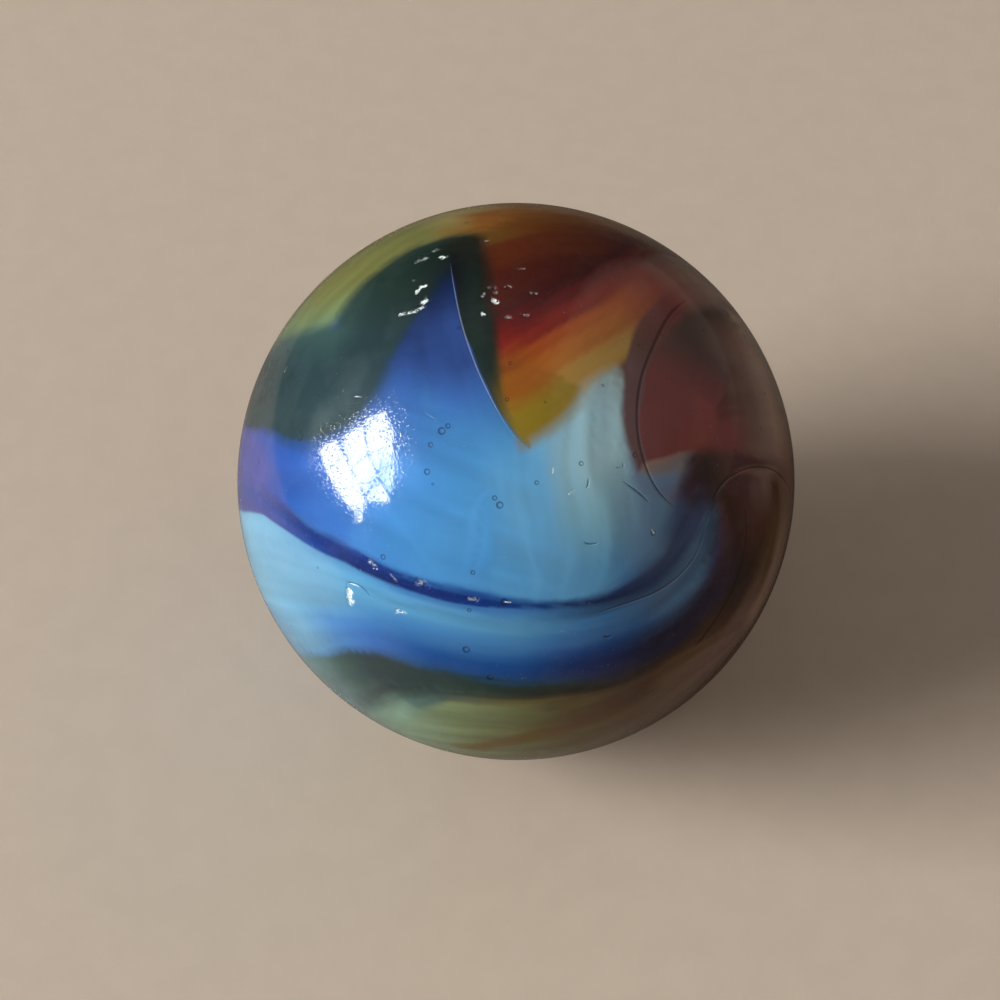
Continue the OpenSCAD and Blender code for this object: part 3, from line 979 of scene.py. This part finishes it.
def band_colour(bands, point_runs, along, across):
    """The red, green and blue of a ribbon's bands at places along and across it."""
    tones = []
    for words in bands.values():
        names, points = stops(words)
        stop_runs = [point_runs[point] for point in points]
        channels = zip(*(rods[name] for name in names))
        tones.append([np.interp(along, stop_runs, channel) for channel in channels])
    tones = np.array(tones)
    band = np.interp(across, list(bands), range(len(bands)))
    low = np.minimum(band.astype(int), max(len(bands) - 2, 0))
    high = np.minimum(low + 1, len(bands) - 1)
    t = band - low
    t = t * t * (3 - 2 * t)
    picks = np.arange(len(along))
    return [tones[low, c, picks] * (1 - t) + tones[high, c, picks] * t for c in range(3)]


def lay_ribbon(mesh, skin, number, name, path, bands, soft, wander=0.1, streaks=0.4,
               cut_start=0, fade_in=0, fade_out=0):
    """Gives each point of the skin a ribbon's colour, and how far inside its edge it lies, 1
    being past the blur."""
    centres, half_widths, run, left, point_runs = smooth_trail(path)
    draw = np.random.default_rng(number)
    streak_cells = draw.random((3, draw_cells + 1, draw_cells + 1)) * 2 - 1
    drift_cells = draw.random((3, draw_cells + 1, draw_cells + 1)) * 2 - 1
    blurs = []
    for words in soft if isinstance(soft, tuple) else (soft, soft):
        sizes, points = stops(words)
        blurs.append(([point_runs[point] for point in points], [float(size) for size in sizes]))
    widest = half_widths.max() + spare_blurs * max(blurs[0][1] + blurs[1][1]) + wander + spare_reach
    layout = np.zeros((len(skin), 4), dtype=np.float32)
    layout[:, 3] = far_outside
    for part, best, inside in parts_near(skin, centres, half_widths, widest):
        aside = -np.einsum("ij,ij->i", skin[part], left[best]) * radius_mm / half_widths[best]
        across = np.clip(aside, -furthest_across, furthest_across)
        along = run[best]
        fineness = max(fewest_streaks, half_widths.mean() / streak_cell)
        streak = drawn_noise(streak_cells, across * fineness, along / streak_draw)
        drift = drawn_noise(drift_cells, np.sign(across) * drift_apart, along * drift_draw)
        side = np.clip(across * side_turn + 0.5, 0, 1)
        left_blur, right_blur = (np.interp(along, *blur) for blur in blurs)
        blur = left_blur + (right_blur - left_blur) * side
        edge = (inside + wander * drift + streak_roughens * blur * streak) / blur
        if cut_start:
            ahead = np.cross(left[0], centres[0])
            past = np.where(along > start_reach, 1.0, (skin[part] - centres[0]) @ ahead * radius_mm)
            edge = np.minimum(edge, past / cut_start)
        for fade, gone in ((fade_in, along), (fade_out, run[-1] - along)):
            if fade:
                edge = np.minimum(edge, 2 * gone / fade - 1 + streak_frays * streak)
        colour = band_colour(bands, point_runs, along, across + streak_bends * streaks * streak)
        for c, channel in enumerate(colour):
            layout[part, c] = channel * (1 + streak_lightens * streaks * streak)
        layout[part, 3] = np.clip(edge, far_outside, -far_outside)
    layer = mesh.attributes.new(name, "FLOAT_COLOR", "POINT")
    layer.data.foreach_set("color", layout.ravel())


def swirl_colour(tree, mesh):
    """All the ribbons laid one over another, in the order they are listed."""
    coordinates = np.empty(len(mesh.vertices) * 3, dtype=np.float32)
    mesh.vertices.foreach_get("co", coordinates)
    skin = coordinates.reshape(-1, 3) / ball_radius
    laid = core_tone
    for number, ribbon in enumerate(ribbons):
        lay_ribbon(mesh, skin, number, **ribbon)
        glass = put(tree, "ShaderNodeAttribute", attribute_name=ribbon["name"])
        cover = between(tree, glass.outputs["Alpha"], -1.0, 1.0)
        laid = tinted(tree, cover, laid, glass.outputs["Color"])
    return laid


# ------------------------------------------------------------ The glass itself
# The glass is opaque under a clear skin that was polished in the fire. Play
# has hazed the skin, pitted it, whitened its chips and left pale specks. Its
# colour also carries painted shade along the bottom of the fold creases and a
# painted highlight along the crown crease.

glass_roughness = 0.04
glass_ior = 1.5
haze_grain = 700.0
haze_least = 0.31
haze_most = 0.62
haze_roughness = 0.42
haze_patch = (0.45, 0.65)
ripple_grain = 5000.0
ripple_share = 0.25
pit_grain = 16000.0
pit_depth = 0.003 * MM
pit_wall = (0.6, 0.0)
# Play has pitted this patch most
played_middle = place(34, 162) * ball_radius
played_reach = 2.9 * MM
played_core = 1.5 * MM
pits_elsewhere = 0.15
# Where a mark starts to show and where it shows in full, 1 being its edge
fold_shows = (0.55, 0.1)
crack_shows = (0.8, 0.2)
scratch_and_highlight_shows = (0.9, 0.3)
seed_ring_inner, seed_ring_outer = (0.35, 0.7), (1.1, 0.85)
chip_shows = (1.2, 0.95)
bruise_shows = (1.2, 0.8)
# How much light each mark takes from the colour: painted shade in the bottom of the fold creases, the dark
# lines of cracks and the dark rings of seeds
fold_painted_shade = 0.7
crack_shade = 0.6
seed_shade = 0.6
# How much the pale tone shows along scratches, and as a painted highlight along the crown crease
scratch_and_highlight_share = 0.3
# Chips and bruises break along small facets, some white and some not
facet_grain = 15000.0
facet_ragged = 0.7
chip_facets = (0.15, 0.8)
bruise_facets = (0.2, 0.9)
chip_roughness = 0.45
chip_white = rod(225, 235, 232) + (1,)
bruise_share = 0.35
speck_grain = 11000.0
speck_size = (0.72, 0.8)
speck_patch_grain = 330.0
speck_patch = (0.45, 0.62)
speck_share = 0.15
# The pale tone of specks, worn places and scratches, also laid as a painted highlight along the crown
# crease
speck_and_highlight_tone = rod(165, 185, 225) + (1,)
# Handling has worn the navy trail pale on one side of the ball
worn_share = 0.03
worn_size = (0.55, 0.75)
worn_trail = (-1.0, 1.0)
worn_side = (0.5 * MM, -1.5 * MM)
# Each kind of mark with how sharply it dips and how ragged it is
mark_forms = {
    "fold": (1.4, 0.0), "crack": (1.0, 0.0), "scratch": (1.0, 0.3),
    "chip": (0.7, 1.1), "bruise": (0.7, 1.1), "seed": (1.0, 0.0),
}


def off_mark(tree, name):
    """How far a point lies from the middle of a kind of mark, 1 being its edge."""
    return put(tree, "ShaderNodeAttribute", attribute_name=name).outputs["Fac"]


def darkened(tree, colour, share, by):
    """A colour that loses some of its light where a share says so."""
    return dimmed(tree, colour, blended(tree, share, 1.0, 1.0 - by))


def grains(tree, spot, fineness, channel):
    """How far a point lies from the middle of its grain, and the grain's own number."""
    cell = put(tree, "ShaderNodeTexVoronoi", {"Vector": spot, "Scale": fineness}).outputs
    drawn = put(tree, "ShaderNodeSeparateColor", {0: cell["Color"]}).outputs[channel]
    return cell["Distance"], drawn


def glass_finish(mesh):
    """The marble's glass: its swirl, its marks, fine pits and a few pale specks."""
    material, tree = blank_material("swirled_glass")
    colour = swirl_colour(tree, mesh)
    spot = put(tree, "ShaderNodeTexCoord").outputs["Object"]
    # Painted shade: the colour darkens along the bottom of each fold crease
    fold = between(tree, off_mark(tree, "fold"), *fold_shows)
    colour = darkened(tree, colour, fold, fold_painted_shade)
    crack = between(tree, off_mark(tree, "crack"), *crack_shows)
    colour = darkened(tree, colour, crack, crack_shade)
    seed = off_mark(tree, "seed")
    ring = times(tree, between(tree, seed, *seed_ring_inner), between(tree, seed, *seed_ring_outer))
    colour = darkened(tree, colour, ring, seed_shade)
    # Scratches are pale, and the crown crease's pale line is a painted highlight
    scratch = between(tree, off_mark(tree, "scratch"), *scratch_and_highlight_shows)
    colour = tinted(tree, times(tree, scratch, scratch_and_highlight_share), colour, speck_and_highlight_tone)
    _, facet = grains(tree, spot, facet_grain, 0)
    chip = reckon(tree, "MULTIPLY_ADD", facet, facet_ragged, off_mark(tree, "chip"))
    chip = between(tree, chip, *chip_shows)
    colour = tinted(tree, times(tree, chip, between(tree, facet, *chip_facets)), colour, chip_white)
    bruise = reckon(tree, "MULTIPLY_ADD", facet, facet_ragged, off_mark(tree, "bruise"))
    bruise = times(tree, between(tree, bruise, *bruise_shows), between(tree, facet, *bruise_facets))
    colour = tinted(tree, times(tree, bruise, bruise_share), colour, chip_white)
    dust = noise(tree, spot, speck_grain)
    dusty = between(tree, noise(tree, spot, speck_patch_grain), *speck_patch)
    speck = times(tree, between(tree, dust, *speck_size), dusty)
    trail = put(tree, "ShaderNodeAttribute", attribute_name="navy_trail").outputs["Alpha"]
    across = put(tree, "ShaderNodeSeparateXYZ", {0: spot}).outputs[0]
    worn = times(tree, between(tree, dust, *worn_size), between(tree, trail, *worn_trail),
                 between(tree, across, *worn_side), worn_share)
    pale = reckon(tree, "MULTIPLY_ADD", speck, speck_share, worn, clamp=True)
    colour = tinted(tree, pale, colour, speck_and_highlight_tone)
    pit, deep = grains(tree, spot, pit_grain, 1)
    patch = measured(tree, "DISTANCE", spot, played_middle)
    played = blended(tree, between(tree, patch, played_reach, played_core), pits_elsewhere, 1.0)
    pitted = times(tree, between(tree, pit, *pit_wall), deep, played, -1.0)
    height = reckon(tree, "MULTIPLY_ADD", noise(tree, spot, ripple_grain, 2.0), ripple_share, pitted)
    skin = put(tree, "ShaderNodeBump", {"Strength": 1.0, "Distance": pit_depth, "Height": height})
    haze = between(tree, noise(tree, spot, haze_grain, 4.0), *haze_patch)
    glass = put(tree, "ShaderNodeBsdfPrincipled",
                {"Base Color": colour, "IOR": glass_ior, "Normal": skin.outputs[0],
                 "Roughness": blended(tree, chip, glass_roughness, chip_roughness),
                 "Coat Weight": blended(tree, haze, haze_least, haze_most),
                 "Coat Roughness": haze_roughness})
    put(tree, "ShaderNodeOutputMaterial", {"Surface": glass.outputs[0]})
    return material


swirled_glass = glass_finish(ball_mesh)
ball_mesh.materials.append(swirled_glass)
pressing = press_marks_tree()
pressers = []
for kind, (sharpness, raggedness) in mark_forms.items():
    presser = marks_object(f"{kind}_marks", mark_points[kind])
    pressers.append(presser)
    run_tree(ball, pressing, Marks=presser, Note=kind, Sharpness=sharpness, Raggedness=raggedness,
             Glass=swirled_glass)
finished_mesh = plain_mesh(ball)
ball.modifiers.clear()
ball.data = finished_mesh
ball.data.name = "glass_ball"
bpy.data.meshes.remove(ball_mesh)
for presser in pressers:
    points = presser.data
    bpy.data.objects.remove(presser)
    bpy.data.meshes.remove(points)
for polygon in finished_mesh.polygons:
    polygon.use_smooth = True

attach(ball, "root")
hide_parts("marble")
